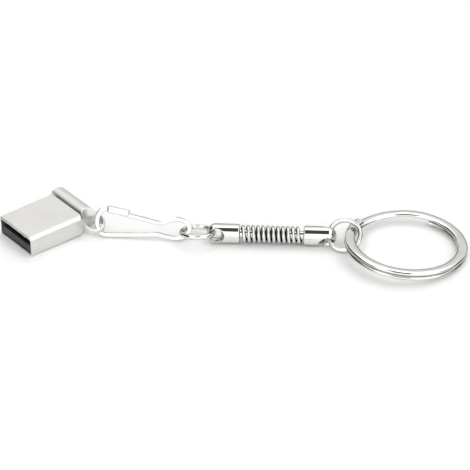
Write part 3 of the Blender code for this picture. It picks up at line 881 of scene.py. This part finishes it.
@dataclass
class SpringLink:
    """Close coil between two turned caps whose lugs are cross-drilled."""

    start: tuple[float, float, float] = (-6.2, -2.6, 2.25)
    yaw: float = -2.9
    length: float = 28.5
    cap_length: float = 7.2
    cap_radius: float = 2.2
    dome: float = 0.8
    hole_x: float = 1.95
    hole_radius: float = 1.2
    hole_mouth: float = 2.2
    spigot_radius: float = 1.0
    spigot_length: float = 3.2
    near_tilt: float = 12.0
    far_tilt: float = 27.0
    coil_radius: float = 1.62
    wire: float = 0.8
    turns: float = 12.0
    per_turn: int = 28
    end_gap: float = 0.1

    def cap_field(self, tilt: float) -> Callable[[Array, Array, Array], Array]:
        """Return the distance to a cap whose hole axis rises by tilt on its -Y side."""
        angle = math.radians(tilt)
        reach = self.cap_radius + 0.2

        def distance(x: Array, y: Array, z: Array) -> Array:
            """Domed barrel joined to its spigot, less a waisted cross hole."""
            radial = np.hypot(y, z)
            depth = self.cap_radius * self.dome
            into = np.minimum(x - depth, 0) / self.dome
            nose = np.hypot(radial, into) - self.cap_radius
            barrel = np.maximum(nose * self.dome, rod_field(radial, x - self.cap_length,
                                                           self.cap_radius, 0.25))
            spigot = rod_field(radial, np.abs(x - self.cap_length) - self.spigot_length,
                               self.spigot_radius, 0.15)
            solid = softer_min(barrel, spigot, 0.08)
            along = -y * math.cos(angle) + z * math.sin(angle)
            side = y * math.sin(angle) + z * math.cos(angle)
            swell = (along / reach) ** 2 * (self.hole_mouth - self.hole_radius)
            hole = (np.hypot(x - self.hole_x, side) - self.hole_radius - swell) * 0.8
            return cut(solid, hole, 0.14)

        return distance

    def coil(self) -> tuple[Array, Faces]:
        """Helix of round wire: radius (cos a, sin a) about X while X advances evenly."""
        clear = self.wire / 2 + self.end_gap
        free = self.length - 2 * self.cap_length - 2 * clear
        share = np.linspace(0, 1, int(self.turns * self.per_turn) + 1)
        angle = 2 * np.pi * self.turns * share
        outward = np.stack([np.zeros_like(angle), np.cos(angle), np.sin(angle)], axis=1)
        path = outward * self.coil_radius
        path[:, 0] = clear + free * share
        return sweep(path, outward, superellipse(self.wire, self.wire, ROUND, 20), 0.08)

    def build(self, shop: FinishShop) -> None:
        """Make both caps and the coil between them."""
        near = shift(BENCH) @ shift(self.start) @ turn(2, self.yaw)
        far = near @ shift(np.array([self.length, 0.0, 0.0])) @ turn(2, 180)
        seat = near @ shift(np.array([self.cap_length, 0.0, 0.0]))
        low = (-0.3, -self.cap_radius - 0.3, -self.cap_radius - 0.3)
        high = (self.cap_length + self.spigot_length + 0.3, self.cap_radius + 0.3,
                self.cap_radius + 0.3)
        axis = near[:3, 0]
        parts = (("hook_side_cap", near, self.near_tilt, "link_near", "end_cap_hook_side"),
                 ("key_side_cap", far, self.far_tilt, "link_far", "end_cap_ring_side"))
        material = shop.material(TURNED_NICKEL, axis, near[:3, 3])
        for name, place, tilt, body, node in parts:
            points, faces = skin(self.cap_field(tilt), low, high, 0.075)
            cap = make_piece(name, moved(place, points), faces, sharp=55)
            cap.data.materials.append(material)
            settle(cap, body, node)
        points, faces = self.coil()
        coil = make_piece("coil_spring", moved(seat, points), faces, sharp=60)
        coil.data.materials.append(shop.material(SPRING_NICKEL, axis, near[:3, 3]))
        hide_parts("spring_link")
        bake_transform(coil)


@dataclass
class KeyRing:
    """Split ring: two turns of flattened wire that cross over between their ends."""

    centre: tuple[float, float, float] = (37.421, -6.858, 2.1)
    tilt_x: float = -1.22
    tilt_y: float = 4.51
    radius: float = 12.4
    width: float = 2.2
    height: float = 1.0
    crown: float = 2.1
    pitch: float = 1.06
    first_end: float = 62.0
    crossing: float = 81.0
    stations: int = 581

    def build(self, shop: FinishShop) -> None:
        """Carry the flat section round the circle while it climbs one pitch at the crossing."""
        place = shift(BENCH) @ shift(self.centre) @ turn(1, self.tilt_y) @ turn(0, self.tilt_x)
        travelled = np.linspace(0, 720 - self.crossing, self.stations)
        angle = np.radians(self.first_end - travelled)
        part = np.clip((travelled - 360 + self.crossing) / self.crossing, 0, 1)
        climb = self.pitch * (part * part * (3 - 2 * part) - 0.5)
        outward = np.stack([np.cos(angle), np.sin(angle), np.zeros_like(angle)], axis=1)
        path = outward * self.radius
        path[:, 2] = climb
        section = superellipse(self.width, self.height, self.crown, 40)
        points, faces = sweep(path, outward, section, 0.12)
        ring = make_piece("split_key_ring", moved(place, points), faces, sharp=60)
        ring.data.materials.append(shop.material(MIRROR_NICKEL))
        settle(ring, "keys", "key_ring")


def settle(piece: bpy.types.Object, body: str, node: str) -> None:
    """Put a piece on its body, in place of a CAD node, which is hidden."""
    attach(piece, body)
    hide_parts(node)
    LOG.info("%s rides on %s for %s", piece.name, body, node)


def dress(node: bpy.types.Object, material: bpy.types.Material) -> None:
    """Give a CAD node that stays a better material."""
    for place in range(len(node.material_slots)):
        node.material_slots[place].material = material
    LOG.info("%s wears %s", node.name, material.name)


# ---------------------------------------------------------------- studio


@dataclass(frozen=True)
class TentGap:
    """A dark gap in the tent, in degrees.

    Args:
        centre: Bearing of its middle from the front, or from the back.
        half_width: Half its width.
        low: Height of its lower edge.
        high: Height of its upper edge.
        depth: Share of the light that it takes away.
        soft: Half the width of its soft edges.
        from_back: Whether the bearing is taken from the back.
    """

    centre: float
    half_width: float
    low: float
    high: float
    depth: float
    soft: float
    from_back: bool = False


@dataclass(frozen=True)
class RoofGap:
    """A dark gap in the tent's roof.

    Args:
        reach: Its two ends, as the slope towards the front over the height.
        half_width: Half its width, as a part of the way east.
        depth: Share of the light that it takes away.
        soft: Half the width of its soft edges.
        above: How far up the way must point before the gap shows, and shows fully.
    """

    reach: tuple[float, float]
    half_width: float
    depth: float
    soft: float
    above: tuple[float, float]


# Light from the front and the back of the tent, and what its top adds.
FRONT_LIGHT = 1.35
BACK_LIGHT = 0.92
HIGH_LIGHT = 0.7
BACK_FADE = (0.1, 0.8)
HIGH_FADE = (0.6, 0.85)
TENT_WHITE = (1.0, 0.998, 0.994, 1.0)
ROOF_GAP = RoofGap(reach=(-0.22, 0.72), half_width=0.22, depth=0.97, soft=0.05, above=(0.3, 0.5))
TENT_GAPS = (
    TentGap(centre=-98.0, half_width=40.0, low=-8.0, high=54.0, depth=0.98, soft=3.0),
    TentGap(centre=98.0, half_width=32.0, low=-8.0, high=34.0, depth=0.97, soft=3.0),
    TentGap(centre=0.0, half_width=70.0, low=-20.0, high=9.0, depth=0.75, soft=4.0, from_back=True),
)


@dataclass
class Studio:
    """White sweep, a white tent with dark gaps, and the camera."""

    elevation: float = 33.2
    distance: float = 700.0
    lens: float = 242.3
    aim: tuple[float, float] = (0.42, 3.648)
    floor_size: float = 6000.0
    floor_level: float = -0.02

    def floor(self) -> None:
        """Lay the plain pale floor just under the chain."""
        half = self.floor_size / 2
        points = np.array([(east, north, self.floor_level) for east, north in
                           ((-half, -half), (half, -half), (half, half), (-half, half))])
        floor = make_piece("studio_floor", points, [[0, 1, 2, 3]])
        material = bpy.data.materials.new("white_paper_sweep")
        material.use_nodes = True
        shader = material.node_tree.nodes["Principled BSDF"]
        shader.inputs["Base Color"].default_value = linear("#FBFBFB")
        shader.inputs["Roughness"].default_value = 0.75
        floor.data.materials.append(material)

    @staticmethod
    def window(tree: Tree, value: Socket, low: float, high: float, soft: float) -> Socket:
        """Return 1 where a value lies between two limits, with soft edges.

        Args:
            tree: Node tree.
            value: The value.
            low: Lower limit.
            high: Upper limit.
            soft: Half the width of each soft edge.

        Returns:
            Result socket.
        """
        rise = eased(tree, value, (low - soft, low + soft))
        fall = eased(tree, value, (high - soft, high + soft), (1.0, 0.0))
        return calc(tree, "MULTIPLY", rise, fall)

    @staticmethod
    def darkened(tree: Tree, level: Socket, shape: Socket, depth: float) -> Socket:
        """Take a share of the light away where a shape is 1."""
        return calc(tree, "MULTIPLY", level, calc(tree, "MULTIPLY_ADD", shape, -depth, 1.0))

    def tent(self) -> None:
        """Light everything from a white tent whose gaps give polished metal its dark lines."""
        world = bpy.data.worlds.new("tent_light")
        bpy.context.scene.world = world
        world.use_nodes = True
        tree = world.node_tree
        way = add_node(tree, "ShaderNodeTexCoord").outputs["Generated"]
        east, north, up = add_node(tree, "ShaderNodeSeparateXYZ", None, Vector=way).outputs
        south = calc(tree, "MULTIPLY", north, -1.0)
        height = calc(tree, "ARCSINE", up)
        level = calc(tree, "ADD", eased(tree, north, BACK_FADE, (FRONT_LIGHT, BACK_LIGHT)),
                     eased(tree, up, HIGH_FADE, (0.0, HIGH_LIGHT)))
        for gap in TENT_GAPS:
            bearing = calc(tree, "ARCTAN2", east, north if gap.from_back else south)
            left, right, low, high, soft = (math.radians(angle) for angle in (
                gap.centre - gap.half_width, gap.centre + gap.half_width, gap.low, gap.high,
                gap.soft))
            shape = calc(tree, "MULTIPLY", self.window(tree, bearing, left, right, soft),
                         self.window(tree, height, low, high, soft))
            level = self.darkened(tree, level, shape, gap.depth)
        lean = calc(tree, "DIVIDE", south, up)
        long = self.window(tree, lean, *ROOF_GAP.reach, ROOF_GAP.soft)
        wide = self.window(tree, east, -ROOF_GAP.half_width, ROOF_GAP.half_width, ROOF_GAP.soft)
        strip = calc(tree, "MULTIPLY", calc(tree, "MULTIPLY", long, wide),
                     eased(tree, up, ROOF_GAP.above))
        level = self.darkened(tree, level, strip, ROOF_GAP.depth)
        background = tree.nodes["Background"]
        background.inputs["Color"].default_value = TENT_WHITE
        tree.links.new(level, background.inputs["Strength"])

    def camera(self) -> None:
        """Stand the camera in front of the chain, looking down at it."""
        rise = math.radians(self.elevation)
        data = bpy.data.cameras.new("studio_camera")
        data.lens = self.lens
        data.clip_start = 0.01
        data.clip_end = 20.0
        camera = bpy.data.objects.new("studio_camera", data)
        camera.location = (self.aim[0] * MM, (self.aim[1] - self.distance * math.cos(rise)) * MM,
                           self.distance * math.sin(rise) * MM)
        camera.rotation_euler = (math.pi / 2 - rise, 0.0, 0.0)
        bpy.context.scene.collection.objects.link(camera)
        bpy.context.scene.camera = camera

    def build(self) -> None:
        """Set up floor, light and camera."""
        self.floor()
        self.tent()
        self.camera()
        bpy.context.scene.view_settings.view_transform = "Standard"


def main() -> None:
    """Build the chain from the drive to the split ring, then the studio."""
    logging.basicConfig(level=logging.INFO, format="%(name)s: %(message)s")
    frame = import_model()
    places = Places(frame["record"])
    shop = FinishShop()
    housing = Housing()
    drive = places.drive(housing.height / 2)
    Studio().build()
    housing.build(shop, drive)
    PlugModule().build(shop, drive, frame["nodes"])
    SnapHook().build(shop)
    JumpRing("hook_side_jump_ring", "hook_ring", "hook_jump_ring",
             np.add(BENCH, HOOK_RING_CENTRE), np.array(HOOK_RING_NORMAL)).build(shop)
    SpringLink().build(shop)
    JumpRing("key_side_jump_ring", "key_jump", "key_jump_ring", places.pivot("key_ring_turn"),
             places.axis("key_ring_turn")).build(shop)
    KeyRing().build(shop)


if __name__ == "__main__":
    main()
